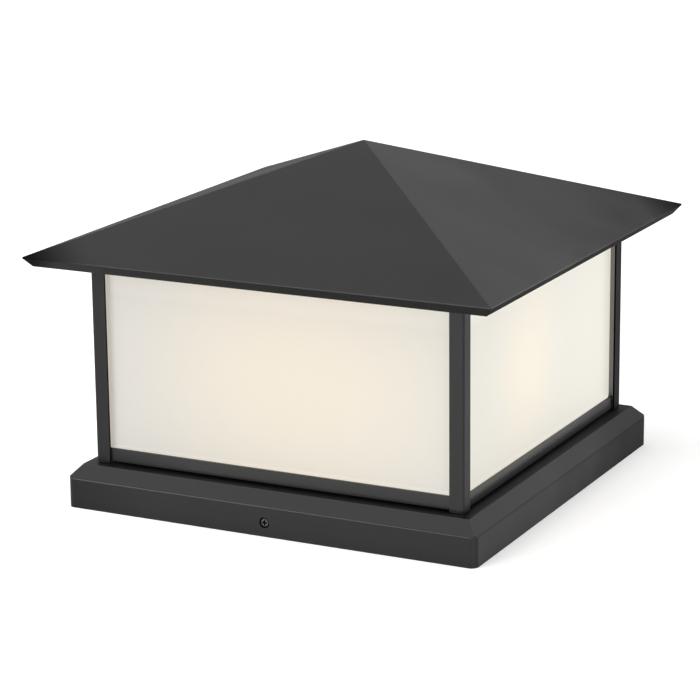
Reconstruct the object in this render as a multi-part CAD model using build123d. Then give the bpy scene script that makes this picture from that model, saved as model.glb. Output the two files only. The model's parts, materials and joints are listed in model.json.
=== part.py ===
from build123d import *
from math import hypot, sqrt
import os

# Pier mount lantern: a square hip-roofed light that stands on a masonry pier.
# Millimetres, +Z up, the origin at the middle of the base where it meets the pier.
# The front is the -Y face. The lantern lifts off a plate that stays on the pier with the lamps.

# Roof, with its width taken to the eaves before their edges are softened
roof_width = 432.0
eave_lift = 6.8
roof_rise = 79.9
roof_wall = 2.0
fascia_drop = 8.5
fascia_return = 7.0
roof_edge_radius = 0.9
standoff_radius = 5.0
standoff_reach = 110.0

# Base casting, built round the opening that the lamps pass when the lantern lifts
base_opening_width = 308.0
base_shelf = 19.0
base_side_height = 26.0
base_chamfer_run = 10.6
base_chamfer_rise = 11.6
base_wall = 4.0
base_corner_radius = 6.0
base_edge_radius = 3.0
curb_wall = 6.0

# Cage of angle posts and rails
cage_seat = 20.0
cage_top = 217.0
post_lift = 0.8
post_flange = 13.2
post_wall = 2.5
post_arris_radius = 2.0
post_tip_radius = 0.5
corner_block_width = 7.5
corner_block_height = 10.0
corner_block_gap = 1.0
rail_gap = 1.7
rail_height = 11.8
rail_wall = 2.0
rail_edge_radius = 0.5
ledge_rise = 1.5
ledge_lip = 4.0
top_plate_wall = 1.5
top_plate_inset = 0.5

# Moulded opal glass and the silicone strips that hold it
glass_wall = 4.0
glass_corner_radius = 11.0
glass_foot_radius = 8.0
glass_mouth_lip = 4.0
glass_side_gap = 1.0
cushion_height = 2.0
cushion_width = 7.0

# Plate on the pier
plate_inset = 29.0
plate_wall = 2.5
plate_corner_radius = 8.0
tab_width = 60.0
tab_height = 22.0
tab_bend_radius = 4.0
anchor_inset = 33.0
anchor_slot_width = 9.0
anchor_slot_length = 25.0
wire_hole_radius = 11.0
bushing_bore_radius = 8.0
bushing_flange = 3.0
bushing_flange_height = 1.8
ground_screw_y = 95.0

# Side screws that bind the base casting to the plate's tabs
side_screw_height = 12.3
side_screw_radius = 2.0
side_screw_head_radius = 3.9
side_screw_head_height = 2.2
side_screw_head_round = 0.7
side_recess_radius = 4.75
side_recess_depth = 2.6
side_boss_radius = 6.5
side_boss_height = 5.0
tab_gap = 0.6
tip_gap = 0.3
cross_slot_length = 4.4
cross_slot_width = 0.9
cross_slot_depth = 1.3

# Lampholders, lamps and their bracket
lamp_spacing = 110.0
bracket_height = 24.0
bracket_wall = 1.5
bracket_width = 40.0
bracket_span = 160.0
bracket_foot = 30.0
bracket_bend_radius = 3.0
bracket_screw_pitch = 24.0
holder_radius = 19.0
holder_floor = 12.0
holder_rim_radius = 2.0
shell_wall = 0.5
shell_foot_gap = 2.0
cap_radius = 13.0
cap_height = 25.0
cap_contact_radius = 5.0
cap_contact_height = 2.0
contact_radius = 8.0
contact_tip_radius = 3.5
contact_wall = 0.6
contact_rise = 5.0
bulb_radius = 30.0
bulb_height = 81.0
bulb_wall = 1.2
neck_inset = 0.4
nipple_radius = 5.0
nipple_bore_radius = 3.5
nipple_tail = 5.5
nut_flat_radius = 7.0
nut_height = 4.0

# Leads and their twist-on connectors
lead_radius = 1.2
lead_pitch = 3.0
lead_bend_radius = 7.2
lead_turn_x = 12.0
lead_turn_y = 21.0
connector_y = 42.0
connector_length = 22.0
connector_mouth_radius = 6.0
connector_tip_radius = 3.5
connector_bore_radius = 4.2
connector_bore_depth = 12.0

# Small screws
frame_screw_radius = 1.45
frame_screw_bite = 7.0
roof_screw_radius = 2.0
roof_screw_bite = 8.0
bracket_screw_radius = 2.0
ground_screw_radius = 2.5
head_ratio = 1.9
head_height_ratio = 1.0
head_round_ratio = 0.6

# Clearances
tapped_clearance = 0.05
hole_clearance = 0.25
fit_clearance = 0.3

# Places worked out from the sizes above
eave_height = cage_top + eave_lift
peak_height = eave_height + roof_rise
fascia_foot = eave_height - fascia_drop
cage_width = base_opening_width + 2 * cage_seat
cage_half = cage_width / 2
base_width = cage_width + 2 * base_shelf
base_half = base_width / 2
base_top = base_side_height + base_chamfer_rise
post_inside = cage_half - post_wall
block_inside = post_inside - corner_block_width
block_centre = post_inside - corner_block_width / 2
rail_bottom = base_top + rail_gap
rail_back = post_inside - rail_wall
ledge_bottom = rail_bottom + ledge_rise
ledge_top = ledge_bottom + rail_wall
ledge_inner_width = base_opening_width - 2 * ledge_lip
upper_ledge_bottom = cage_top - rail_wall
glass_width = 2 * (rail_back - glass_side_gap)
glass_bottom = ledge_top + cushion_height
glass_top = upper_ledge_bottom - cushion_height
glass_flat_width = glass_width - 2 * glass_foot_radius
glass_mouth_width = ledge_inner_width - 2 * glass_mouth_lip
glass_corner_reach = sqrt(2) * (glass_width / 2 - glass_corner_radius) + glass_corner_radius
corner_block_chamfer = sqrt(2) * (glass_corner_reach + corner_block_gap) - 2 * block_inside
plate_width = base_width - 2 * (base_wall + plate_inset)
anchor_spacing = plate_width - 2 * anchor_inset
plate_reach = base_half - base_wall - side_boss_height - tab_gap
tip_reach = plate_reach + tip_gap
holder_foot = bracket_height
bore_floor = holder_foot + holder_floor
cap_foot = bore_floor + contact_rise + cap_contact_height
holder_top = cap_foot + cap_height
shell_radius = cap_radius + fit_clearance + shell_wall
holder_bore_radius = shell_radius + hole_clearance
neck_radius = cap_radius - neck_inset
nut_bottom = bracket_height - bracket_wall - nut_height
nipple_bottom = bracket_height - bracket_wall - nipple_tail
top_plate_top = cage_top + top_plate_wall
lead_height = plate_wall + connector_mouth_radius
corner_names = ("front_left", "front_right", "back_right", "back_left")
side_names = ("front", "right", "back", "left")
lamp_names = {"left": -1, "right": 1}


def square(width, corner_radius=0.0):
    """A square centred on the origin, with rounded corners where a radius is given."""
    if corner_radius:
        return RectangleRounded(width, width, corner_radius)
    return Rectangle(width, width)


def slab(sketch, bottom, top):
    """A flat sketch raised from one height to another."""
    return extrude(Pos(0, 0, bottom) * sketch, top - bottom)


def outline(points):
    """A face with straight edges through the given points."""
    return make_face(Polyline(*points, close=True))


def crossed(profile, reach):
    """A block with mitred corners: one profile run along Y and cut by itself run along X."""
    along_y = extrude(Plane.XZ * profile, reach, both=True)
    along_x = extrude(Plane.YZ * profile, reach, both=True)
    return along_y & along_x


def turned(points):
    """A round piece about the Z axis from the outline of one half."""
    return revolve(Plane.XZ * outline(points), Axis.Z)


def quarter_turns(piece):
    """The piece at each of four quarter turns, from the front going anticlockwise."""
    return [Rot(0, 0, 90 * turn) * piece for turn in range(4)]


def pan_screw(radius, length):
    """A round-headed screw with its shank down -Z and the underside of its head at the origin."""
    head = rod(radius * head_ratio, 0, radius * head_height_ratio)
    head = fillet(head.faces().sort_by(Axis.Z)[-1].edges(), radius * head_round_ratio)
    return head + rod(radius, -length, 0)


def rod(radius, bottom, top):
    """A round bar about the Z axis between two heights, to add or to cut away."""
    return Pos(0, 0, bottom) * Cylinder(radius, top - bottom, align=(Align.CENTER, Align.CENTER, Align.MIN))


def save(name, *solids):
    """One node of the assembly, as one solid or as a group of separate solids."""
    piece = solids[0] if len(solids) == 1 else Compound(children=list(solids))
    export_step(piece, f"parts/{name}.step")


# Roof

def roof_profile():
    """The gable outline that the roof shows from every side, with the fascia leaning in below the eave."""
    half = roof_width / 2
    foot = half - fascia_return
    return outline([(-foot, fascia_foot), (-half, eave_height), (0, peak_height),
                    (half, eave_height), (foot, fascia_foot)])


def roof_cavity():
    """The space under the roof sheet."""
    return crossed(offset(roof_profile(), -roof_wall, kind=Kind.INTERSECTION), roof_width)


def make_roof():
    """A folded sheet roof with softened hips and eaves, open underneath."""
    core = crossed(offset(roof_profile(), -roof_edge_radius, kind=Kind.INTERSECTION), roof_width)
    body = offset(core, roof_edge_radius, kind=Kind.ARC)
    fascia_length = hypot(fascia_return, fascia_drop)
    mouth = roof_width / 2 - fascia_return + (fascia_return - fascia_length) * roof_wall / fascia_drop
    return body - roof_cavity() - slab(square(2 * mouth), fascia_foot - roof_wall, fascia_foot + roof_wall)


def standoff_places():
    """Where the roof is carried, in the middle of each slope."""
    return [Rot(0, 0, 90 * turn) * Pos(standoff_reach, 0, 0) for turn in range(4)]


def make_standoffs():
    """Tapped pillars welded under the slopes."""
    pillar = rod(standoff_radius, top_plate_top, peak_height)
    thread_top = top_plate_top + roof_screw_bite + fit_clearance
    thread = rod(roof_screw_radius + tapped_clearance, top_plate_top, thread_top)
    return [(place * pillar & roof_cavity()) - place * thread for place in standoff_places()]


def make_roof_screws():
    """Screws up through the top plate into the pillars."""
    screw = Rot(180, 0, 0) * pan_screw(roof_screw_radius, top_plate_wall + roof_screw_bite)
    return [place * Pos(0, 0, cage_top) * screw for place in standoff_places()]


# Base casting

def base_profile():
    """The base's outline from the side: upright walls, a chamfered shoulder and a flat top."""
    crown = base_half - base_chamfer_run
    return outline([(-base_half, 0), (-base_half, base_side_height), (-crown, base_top),
                    (crown, base_top), (base_half, base_side_height), (base_half, 0)])


def side_screw_places():
    """Where a screw enters the front and the back of the base, pointing inwards."""
    inward = Pos(0, -base_half, side_screw_height) * Rot(90, 0, 0)
    return {"front": inward, "back": Rot(0, 0, 180) * inward}


def make_base_skirt():
    """A hollow casting with a chamfered shoulder, a raised curb under the cage and two screw bosses."""
    profile = base_profile()
    shoulders = [v for v in profile.vertices() if abs(v.Y - base_side_height) < 1e-6]
    body = crossed(fillet(shoulders, base_edge_radius), base_width)
    body &= slab(square(base_width, base_corner_radius), 0, base_top)
    hollow = crossed(offset(profile, -base_wall, kind=Kind.INTERSECTION), base_width)
    hollow += slab(square(base_width - 2 * base_wall), 0, 2 * base_wall)
    curb_width = base_opening_width + 2 * curb_wall
    curb = slab(square(curb_width, curb_wall), base_top, ledge_bottom)
    body = body - hollow + curb
    for place in side_screw_places().values():
        body += place * rod(side_boss_radius, -base_wall - side_boss_height, -base_wall / 2)
    body -= slab(square(base_opening_width, curb_wall / 2), 0, ledge_bottom)
    for place in side_screw_places().values():
        body -= place * rod(side_recess_radius, -side_recess_depth, base_wall)
        body -= place * rod(side_screw_radius + tapped_clearance, -base_wall - side_boss_height, 0)
    for turn in range(4):
        body -= Rot(0, 0, 90 * turn) * Pos(block_centre, block_centre, 0) * rod(
            frame_screw_radius + hole_clearance, base_top - 2 * base_wall, base_top + base_wall)
    return body


def make_side_screw():
    """A cross-slot screw with its head in the recess and its tip against the plate's tab."""
    floor = -side_recess_depth
    head = rod(side_screw_head_radius, floor, floor + side_screw_head_height)
    head = fillet(head.faces().sort_by(Axis.Z)[-1].edges(), side_screw_head_round)
    shank = rod(side_screw_radius, tip_reach - base_half, floor)
    top = floor + side_screw_head_height
    slot = Rectangle(cross_slot_length, cross_slot_width)
    slot = slab(slot, top - cross_slot_depth, top + cross_slot_depth)
    return head + shank - slot - Rot(0, 0, 90) * slot


# Cage

def make_post():
    """An angle post at the front left corner, with a soft outer arris and its foot just clear of the base."""
    section = outline([(0, 0), (post_flange, 0), (post_flange, post_wall), (post_wall, post_wall),
                       (post_wall, post_flange), (0, post_flange)])
    section = fillet(section.vertices().sort_by_distance((0, 0))[0], post_arris_radius)
    tips = [v for v in section.vertices() if abs(max(v.X, v.Y) - post_flange) < 1e-6]
    section = fillet(tips, post_tip_radius)
    return slab(Pos(-cage_half, -cage_half) * section, base_top + post_lift, cage_top)


def make_block(bottom, top, tapped_from, tapped_to):
    """A corner key inside the front left post, tapped for one screw."""
    place = Pos(-block_centre, -block_centre, 0)
    section = place * square(corner_block_width)
    inner = section.vertices().sort_by_distance((0, 0))[0]
    thread = place * rod(frame_screw_radius + tapped_clearance, tapped_from, tapped_to)
    return slab(chamfer(inner, corner_block_chamfer), bottom, top) - thread


def make_rail(bottom, ledge):
    """A rail along the front between two corner keys, with a ledge behind it for the glass."""
    top = bottom + rail_height
    inner = ledge_inner_width / 2
    ledge_face = ledge + rail_wall
    leg = [(-post_inside, bottom), (-rail_back, bottom), (-rail_back, top), (-post_inside, top)]
    shelf = [(-post_inside, ledge), (-inner, ledge), (-inner, ledge_face), (-post_inside, ledge_face)]
    section = outline(leg) + outline(shelf)
    face_edges = [v for v in section.vertices() if abs(v.X + post_inside) < 1e-6]
    section = fillet(face_edges, rail_edge_radius)
    bar = extrude(Plane.YZ * section, block_inside, both=True)
    mitre = outline([(-block_inside, -post_inside), (block_inside, -post_inside),
                     (block_inside, -block_inside), (inner, -inner),
                     (-inner, -inner), (-block_inside, -block_inside)])
    return bar & slab(mitre, bottom, top)


def make_top_plate():
    """A flat lid over the cage that carries the roof."""
    plate = slab(square(cage_width - 2 * top_plate_inset, post_arris_radius), cage_top, top_plate_top)
    for place in standoff_places():
        plate -= place * rod(roof_screw_radius + hole_clearance, cage_top, top_plate_top)
    for turn in range(4):
        plate -= Rot(0, 0, 90 * turn) * Pos(block_centre, block_centre, 0) * rod(
            frame_screw_radius + hole_clearance, cage_top, top_plate_top)
    return plate


def make_frame_screws(seat, direction, length):
    """Four screws at the corner keys, driven up or down from the face they bear on."""
    turn_over = Rot(180, 0, 0) if direction > 0 else Rot(0, 0, 0)
    screw = turn_over * pan_screw(frame_screw_radius, length)
    return quarter_turns(Pos(-block_centre, -block_centre, seat) * screw)


# Glass

def make_glass():
    """One moulded box with rounded corners and a rounded foot that turns in to a flange."""
    outer = slab(square(glass_width, glass_corner_radius), glass_bottom, glass_top)
    outer = fillet(outer.faces().sort_by(Axis.Z)[0].edges(), glass_foot_radius)
    inner_width = glass_width - 2 * glass_wall
    inner = slab(square(inner_width, glass_corner_radius - glass_wall), glass_bottom + glass_wall, glass_top)
    inner = fillet(inner.faces().sort_by(Axis.Z)[0].edges(), glass_foot_radius - glass_wall)
    mouth = slab(square(glass_mouth_width, glass_wall), glass_bottom, glass_top)
    return outer - inner - mouth


def make_foot_cushion():
    """A silicone strip between the rails' ledges and the glass."""
    outer = glass_flat_width - fit_clearance
    inner = outer - 2 * cushion_width
    ring = square(outer, cushion_width) - square(inner, cushion_width / 2)
    return slab(ring, ledge_top, glass_bottom)


def make_head_cushion():
    """A silicone strip between the top of the glass and the upper rails."""
    inner_width = glass_width - 2 * glass_wall
    ring = square(glass_width, glass_corner_radius) - square(inner_width, glass_corner_radius - glass_wall)
    return slab(ring, glass_top, upper_ledge_bottom)


# Plate, bushing and ground screw

def bent_strip(points, wall, bend_radius, width, plane):
    """Sheet metal folded along a line of points and as wide as given."""
    line = FilletPolyline(*points, radius=bend_radius)
    return extrude(plane * trace(line, wall), width / 2, both=True)


def bracket_screw_places():
    """Where the bracket's feet are held down."""
    middle = bracket_span / 2 + bracket_foot / 2
    return GridLocations(2 * middle, bracket_screw_pitch, 2, 2).locations


def make_plate():
    """A flat plate with two upturned tabs that the base casting is bound to."""
    mid = plate_wall / 2
    reach = plate_reach - mid
    tabs = bent_strip([(-reach, tab_height), (-reach, mid), (reach, mid), (reach, tab_height)],
                      plate_wall, tab_bend_radius, tab_width, Plane.YZ)
    plate = tabs + slab(square(plate_width, plate_corner_radius), 0, plate_wall)
    plate -= rod(wire_hole_radius, 0, plate_wall)
    slot = SlotOverall(anchor_slot_length, anchor_slot_width)
    for place in GridLocations(anchor_spacing, anchor_spacing, 2, 2).locations:
        plate -= place * slab(slot, 0, plate_wall)
    for place in bracket_screw_places():
        plate -= place * rod(bracket_screw_radius + tapped_clearance, 0, plate_wall)
    return plate - Pos(0, ground_screw_y, 0) * rod(ground_screw_radius + tapped_clearance, 0, plate_wall)


def make_bushing():
    """A rubber sleeve in the wire hole with a flange on top of the plate."""
    stem = wire_hole_radius - hole_clearance
    flange = wire_hole_radius + bushing_flange
    top = plate_wall + bushing_flange_height
    return turned([(bushing_bore_radius, 0), (stem, 0), (stem, plate_wall), (flange, plate_wall),
                   (flange, top), (bushing_bore_radius, top)])


def make_ground_screw():
    """A hexagon-headed earth screw."""
    head_top = plate_wall + ground_screw_radius * head_height_ratio
    head = slab(RegularPolygon(ground_screw_radius * head_ratio, 6), plate_wall, head_top)
    return Pos(0, ground_screw_y, 0) * (head + rod(ground_screw_radius, fit_clearance, plate_wall))


# Bracket, lampholders and lamps

def lamp_place(side):
    """The axis of one lamp."""
    return Pos(lamp_names[side] * lamp_spacing / 2, 0, 0)


def make_bracket():
    """A folded strip on two feet that holds the lampholders above the wiring."""
    half = bracket_span / 2
    low = plate_wall + bracket_wall / 2
    high = bracket_height - bracket_wall / 2
    strip = bent_strip([(-half - bracket_foot, low), (-half, low), (-half, high),
                        (half, high), (half, low), (half + bracket_foot, low)],
                       bracket_wall, bracket_bend_radius, bracket_width, Plane.XZ)
    for side in lamp_names:
        strip -= lamp_place(side) * rod(nipple_radius + hole_clearance, nut_bottom, holder_top)
    for place in bracket_screw_places():
        strip -= place * rod(bracket_screw_radius + hole_clearance, plate_wall, plate_wall + bracket_wall)
    return strip


def make_bracket_screws():
    """Screws through the bracket's feet into the plate."""
    seat = plate_wall + bracket_wall
    screw = Pos(0, 0, seat) * pan_screw(bracket_screw_radius, seat - fit_clearance)
    return [place * screw for place in bracket_screw_places()]


def make_holder(side):
    """A porcelain lampholder, bored for the screw shell and for the nipple below it."""
    body = rod(holder_radius, holder_foot, holder_top)
    body = fillet(body.faces().sort_by(Axis.Z)[-1].edges(), holder_rim_radius)
    body -= rod(holder_bore_radius, bore_floor, holder_top)
    body -= rod(nipple_radius + hole_clearance, holder_foot, bore_floor)
    return lamp_place(side) * body


def make_shell(side):
    """The brass shell that the lamp's cap screws into."""
    foot = bore_floor + shell_foot_gap
    rim = holder_top - holder_rim_radius
    tube = rod(shell_radius, foot, rim) - rod(shell_radius - shell_wall, foot, rim)
    return lamp_place(side) * tube


def make_contact(side):
    """The sprung centre contact on the floor of the lampholder, over the nipple."""
    foot = bore_floor + fit_clearance
    head = cap_foot - cap_contact_height - fit_clearance
    leaf = turned([(0, foot), (contact_radius, foot), (contact_radius, foot + contact_wall),
                   (contact_tip_radius, head - contact_wall), (contact_tip_radius, head), (0, head)])
    return lamp_place(side) * leaf


def make_nipple(side):
    """A threaded tube that clamps the lampholder and lets its leads through."""
    tube = rod(nipple_radius, nipple_bottom, bore_floor) - rod(nipple_bore_radius, nipple_bottom, bore_floor)
    return lamp_place(side) * tube


def make_nut(side):
    """A thin hexagon nut under the bracket."""
    nut_top = nut_bottom + nut_height
    nut = slab(RegularPolygon(nut_flat_radius, 6, major_radius=False), nut_bottom, nut_top)
    return lamp_place(side) * (nut - rod(nipple_radius + tapped_clearance, nut_bottom, nut_top))


def make_lamp_cap(side):
    """The lamp's metal cap with its centre contact."""
    foot = cap_foot - cap_contact_height
    return lamp_place(side) * turned([(0, foot), (cap_contact_radius, foot), (cap_radius, cap_foot),
                                      (cap_radius, holder_top), (0, holder_top)])


def bulb_form(inset):
    """A pear-shaped solid that sits on the lamp's cap, drawn in by a wall thickness."""
    radius = bulb_radius - inset
    widest = holder_top + bulb_height - bulb_radius
    neck = Spline((neck_radius - inset, holder_top), (radius, widest), tangents=((0, 1), (0, 1)))
    dome = RadiusArc((radius, widest), (0, widest + radius), -radius)
    axis = Polyline((0, widest + radius), (0, holder_top), (neck_radius - inset, holder_top))
    return revolve(Plane.XZ * make_face([neck, dome, axis]), Axis.Z)


def make_bulb(side):
    """A frosted lamp envelope, hollow and open into the cap."""
    return lamp_place(side) * (bulb_form(0) - bulb_form(bulb_wall))


# Wiring

def make_lead(side, way):
    """One lead from a lampholder's nipple to the connector on the front or back of the bracket."""
    x = lamp_names[side] * lamp_spacing / 2
    turn_x = lamp_names[side] * lead_turn_x
    end_x = lamp_names[side] * lead_pitch / 2
    y = way * lead_pitch / 2
    route = FilletPolyline((x, y, bore_floor - fit_clearance), (x, y, lead_height),
                           (turn_x, way * lead_turn_y, lead_height),
                           (end_x, way * (connector_y - lead_bend_radius), lead_height),
                           (end_x, way * (connector_y + connector_bore_depth / 2), lead_height),
                           radius=lead_bend_radius)
    start = Plane(origin=route @ 0, z_dir=route % 0)
    return sweep(start * Circle(lead_radius), path=route)


def make_connector(way):
    """A twist-on connector that lies on its mouth's rim, with the joined leads inside."""
    length = connector_length
    cone = turned([(0, length), (connector_tip_radius, length), (connector_mouth_radius, 0),
                   (connector_bore_radius, 0), (connector_bore_radius, connector_bore_depth),
                   (0, connector_bore_depth)])
    return Pos(0, way * connector_y, lead_height) * Rot(-90 * way, 0, 0) * cone


def main():
    os.makedirs("parts", exist_ok=True)

    save("roof", make_roof())
    save("roof_standoffs", *make_standoffs())
    save("roof_screws", *make_roof_screws())
    save("top_plate", make_top_plate())

    save("base_skirt", make_base_skirt())
    for side, place in side_screw_places().items():
        save(f"side_screw_{side}", place * make_side_screw())

    for corner, post in zip(corner_names, quarter_turns(make_post())):
        save(f"corner_post_{corner}", post)
    for side, rail in zip(side_names, quarter_turns(make_rail(rail_bottom, ledge_bottom))):
        save(f"lower_rail_{side}", rail)
    for side, rail in zip(side_names, quarter_turns(make_rail(cage_top - rail_height, upper_ledge_bottom))):
        save(f"upper_rail_{side}", rail)
    foot_block = make_block(base_top, base_top + corner_block_height, base_top, base_top + frame_screw_bite)
    head_block = make_block(cage_top - corner_block_height, cage_top, cage_top - frame_screw_bite, cage_top)
    save("corner_feet", *quarter_turns(foot_block))
    save("corner_heads", *quarter_turns(head_block))
    bite = frame_screw_bite - fit_clearance
    save("foot_screws", *make_frame_screws(base_top - base_wall, 1, base_wall + bite))
    save("head_screws", *make_frame_screws(top_plate_top, -1, top_plate_wall + bite))

    save("glass_shade", make_glass())
    save("glass_foot_cushion", make_foot_cushion())
    save("glass_head_cushion", make_head_cushion())

    save("mounting_plate", make_plate())
    save("wire_bushing", make_bushing())
    save("ground_screw", make_ground_screw())
    save("lamp_bracket", make_bracket())
    save("bracket_screws", *make_bracket_screws())
    for side in lamp_names:
        save(f"lampholder_{side}", make_holder(side))
        save(f"screw_shell_{side}", make_shell(side))
        save(f"lamp_cap_{side}", make_lamp_cap(side))
        save(f"lamp_bulb_{side}", make_bulb(side))
    save("centre_contacts", *[make_contact(side) for side in lamp_names])
    save("holder_nipples", *[make_nipple(side) for side in lamp_names])
    save("holder_nuts", *[make_nut(side) for side in lamp_names])
    save("black_leads", *[make_lead(side, -1) for side in lamp_names])
    save("white_leads", *[make_lead(side, 1) for side in lamp_names])
    save("wire_connectors", make_connector(-1), make_connector(1))


main()
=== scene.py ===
import json
import math

import bmesh
import bpy
from mathutils import Matrix, Vector


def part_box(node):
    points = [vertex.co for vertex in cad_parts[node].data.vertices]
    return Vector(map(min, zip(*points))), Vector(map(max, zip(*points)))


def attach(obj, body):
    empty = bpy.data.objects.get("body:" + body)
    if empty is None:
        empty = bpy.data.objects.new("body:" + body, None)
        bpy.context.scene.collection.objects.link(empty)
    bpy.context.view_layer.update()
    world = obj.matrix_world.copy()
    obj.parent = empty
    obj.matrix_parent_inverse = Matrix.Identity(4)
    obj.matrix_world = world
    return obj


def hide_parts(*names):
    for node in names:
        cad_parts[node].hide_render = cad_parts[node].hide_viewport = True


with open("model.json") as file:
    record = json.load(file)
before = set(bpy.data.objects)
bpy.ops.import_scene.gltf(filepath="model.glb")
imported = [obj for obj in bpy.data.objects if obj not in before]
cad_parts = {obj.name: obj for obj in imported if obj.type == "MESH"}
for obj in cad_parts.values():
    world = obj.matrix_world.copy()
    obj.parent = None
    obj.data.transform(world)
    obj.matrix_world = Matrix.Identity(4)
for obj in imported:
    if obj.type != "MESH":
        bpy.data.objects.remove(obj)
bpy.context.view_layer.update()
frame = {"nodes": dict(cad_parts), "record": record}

# Looks of the pier mount lantern, in metres, in the frame of the CAD model.

nodes = frame["nodes"]
glass_low, glass_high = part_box("glass_shade")
post_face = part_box("corner_post_front_right")[1].x
lamp_boxes = [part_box("lamp_bulb_left"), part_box("lamp_bulb_right")]
lamp_centres = [(low + high) / 2 for low, high in lamp_boxes]
screw_low, screw_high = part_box("side_screw_front")
screw_place = (screw_low + screw_high) / 2

# Camera, fitted to the photograph's straight edges and outline
camera_azimuth = math.radians(26.77)
camera_elevation = math.radians(14.91)
camera_roll = math.radians(0.590)
camera_distance = 2.4165
camera_aim_right = -0.01384
camera_aim_height = 0.11492
camera_clip_end = 100.0
sensor_width_mm = 36.0
lens_mm = 140.33

# Studio
white = (1.0, 1.0, 1.0)
floor_reach = 30.0
floor_colour = (0.90, 0.90, 0.895)
floor_roughness = 0.9
floor_specular = 0.1
floor_cloud_per_m = 3.0
floor_cloud_share = 0.99
floor_light = (0.38, 0.50)
floor_light_span = (0.6, 2.6)
sky_light = (0.42, 0.74)
sky_light_span = (0.2, 0.85)
sky_horizon_light = 1.0
sky_horizon_span = (0.02, 0.05)
softboxes = {
    "softbox_top": {"place": (-0.35, -0.3, 2.6), "width": 1.5, "height": 1.2, "radiance": 2.2},
    "softbox_key": {"place": (-1.15, -0.95, 2.2), "width": 1.8, "height": 1.4, "radiance": 0.9},
    "softbox_strip": {"place": (-1.0, -1.85, 0.95), "width": 1.8, "height": 0.6, "radiance": 6.5},
    "softbox_fill": {"place": (2.0, -0.7, 0.9), "width": 1.2, "height": 1.0, "radiance": 1.4},
    "softbox_rim": {"place": (0.65, 1.7, 0.75), "width": 1.2, "height": 1.3, "radiance": 0.5},
}
softbox_aim = (0, 0, 0.1)

# All finishes: the reach of the noise, and how alike smoothed and real directions are at edges and on flats
noise_roughness = 0.55
cloud_span = (0.3, 0.7)
edge_alike_span = (0.90, 0.995)
edge_samples = 6

# Powder coat
coat_colour = (0.007, 0.007, 0.0071)
# Painted shade: the coat goes towards this colour, and turns metallic, where a shade mask is high
coat_painted_shade_colour = (0.005, 0.005, 0.005)
coat_edge_colour = (0.040, 0.040, 0.040)
coat_rail_colour = (0.016, 0.016, 0.016)
# Painted light from the glass on the faces of the cage that look in at it
painted_glass_light_colour = (0.36, 0.36, 0.35)
coat_roughness = 0.21
coat_roughness_drift = 0.05
coat_dull_roughness = 0.95
coat_specular = 0.38
coat_grain_per_m = 700.0
coat_grain_depth = 0.00008
coat_grain_strength = 0.6
coat_cloud_per_m = 11.0
coat_cloud_drift = 0.2
coat_wave_per_m = 7.0
coat_wear_per_m = 60.0
coat_wear_radius = 0.0012
painted_shade_darkening = 0.85
roof_wave_depth = 0.004

# Painted shade on the coat: how much, then where. A span runs in metres along X plus Y, from the middle out
# to an upright face, or out from a screw's axis. A lean is one part of a face's direction, from -1 to 1.
underside_shade_least = 0.62
underside_lean = (-0.5, -0.2)
roof_tip_shade = 1.0
roof_left_span = (-0.355, -0.42)
roof_right_span = (0.31, 0.43)
roof_side_shade = 0.45
roof_side_span = (0.05, 0.40)
roof_side_lean = (0.2, 0.3)
roof_far_shade = 0.45
roof_far_lean = (0.2, 0.33)
base_left_shade = 0.45
base_left_span = (-0.27, -0.385)
base_right_shade = 0.27
base_right_span = (0.16, 0.385)
base_upright_lean = (0.2, 0.5)
base_side_shade = 0.38
base_side_lean = (0.62, 0.95)
base_front_shade = 0.15
base_front_lean = (-0.8, -0.95)
base_shelf_shade = 0.30
base_shelf_lean = (0.9, 0.99)
base_recess_span = (0.0047, 0.0049)
cage_left_shade = 0.30
cage_left_span = (-0.25, -0.345)
cage_right_shade = 0.35
cage_right_span = (0.20, 0.345)
cage_side_shade = 0.35
cage_side_lean = (0.4, 0.9)
cage_post_span = (post_face - 0.0018, post_face - 0.0008)
cage_rail_span = (post_face - 0.009, post_face - 0.006)
cage_inside_span = (0.004 - post_face, 0.007 - post_face)
cage_end_span = (0.005 - post_face, 0.008 - post_face)
cage_inward_span = (0.054 - post_face, 0.124 - post_face)

# Opal glass
# The glass's glow is painted light: its emission stands in for the lamps' light through it and the studio
# light on it
opal_colour = (0.42, 0.418, 0.392)
opal_roughness = 0.32
opal_specular = 0.35
opal_cloud_per_m = 14.0
opal_cloud_share = 0.985
opal_ripple_per_m = 35.0
opal_ripple_depth = 0.0002
opal_ripple_strength = 0.15
opal_left_light = (0.180, 0.158, 0.138)
opal_right_light = (0.460, 0.433, 0.375)
opal_light_span = (-0.34, 0.90)
opal_side_step = 0.454
opal_warm_light = (0.150, 0.080, 0.0)
opal_side_glow = 0.55
opal_glow_gain = 0.0095
opal_glow_span = (0.30, 0.90)
opal_glow_shift = Vector((0.018, -0.03, 0.02))
opal_mirror_lean = (0.49, 0.51)
opal_rim_light = (0.28, 0.27, 0.25)
opal_corner_slant = 0.5
opal_foot_span = (glass_low.z + 0.0057, glass_low.z + 0.0095)
opal_head_span = (glass_high.z - 0.027, glass_high.z - 0.008)
opal_head_share = 0.5

# Bare metals
metal_brush_per_m = (900.0, 40.0, 900.0)
metal_grain_depth = 0.00002
metal_grain_strength = 0.5
metal_cloud_per_m = 45.0
metal_tarnish_share = 0.75
metal_edge_share = 1.25
metal_edge_radius = 0.0006
metal_smoother = 0.08
metal_rougher = 0.1

# Zinc sheet
zinc_dark_colour = (0.36, 0.37, 0.38)
zinc_light_colour = (0.56, 0.57, 0.58)
zinc_edge_colour = (0.75, 0.76, 0.77)
zinc_metallic = 0.9
zinc_roughness = (0.28, 0.45)
zinc_spangle_per_m = 150.0
zinc_grain_per_m = 500.0
zinc_grain_depth = 0.00002
zinc_grain_strength = 0.4
zinc_edge_radius = 0.0008

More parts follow.
